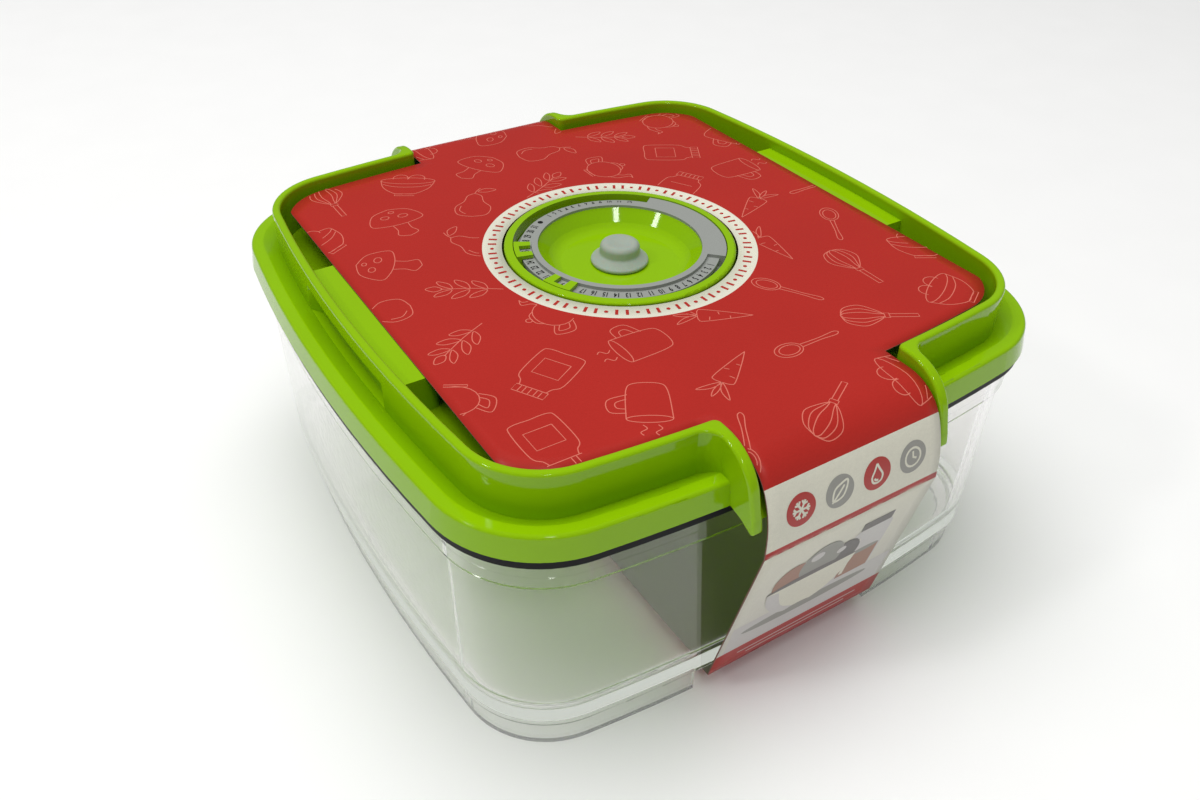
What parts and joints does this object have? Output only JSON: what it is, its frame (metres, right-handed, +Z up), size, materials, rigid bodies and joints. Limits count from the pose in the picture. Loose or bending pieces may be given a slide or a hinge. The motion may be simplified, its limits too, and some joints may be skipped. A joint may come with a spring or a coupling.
{
  "type": "vacuum food canister",
  "caption": "Square clear plastic vacuum food canister with a lime green lid, a date dial with sliders, an air valve, a rubber gasket and a red card sleeve.",
  "frame": {"origin": "on the ground under the middle of the tub", "axes": "+Z up; -Y is the front, and both lifting tabs lie on the Y axis; the dial's bare field points along +X"},
  "size_m": [0.2, 0.2196, 0.0943],
  "materials": {
    "clear_plastic": "clear gloss",
    "lime_plastic": "gloss",
    "gasket_rubber": "matt",
    "dial_plastic": "satin",
    "valve_silicone": "matt",
    "sleeve_card": "printed satin"
  },
  "bodies": {
    "container": {"clear_tub": "clear_plastic", "sleeve_wrap": "sleeve_card"},
    "lid": {"lid_shell": "lime_plastic", "lid_gasket": "gasket_rubber", "date_ring": "dial_plastic", "sleeve_top": "sleeve_card"},
    "valve": {"valve_button": "valve_silicone"},
    "day": {"day_slider": "lime_plastic"},
    "month": {"month_slider": "lime_plastic"}
  },
  "joints": [
    {"name": "lid_lift", "type": "slide", "parent": "container", "child": "lid", "axis": [0, 0, 1], "range_m": [0, 0.1]},
    {"name": "valve_pull", "type": "slide", "parent": "lid", "child": "valve", "axis": [0, 0, 1], "range_m": [0, 0.003]},
    {"name": "day_set", "type": "hinge", "parent": "lid", "child": "day", "pos_m": [0, 0, 0.09], "axis": [0, 0, 1], "range_deg": [-24, 102.5]},
    {"name": "month_set", "type": "hinge", "parent": "lid", "child": "month", "pos_m": [0, 0, 0.09], "axis": [0, 0, 1], "range_deg": [-109, 0]}
  ]
}
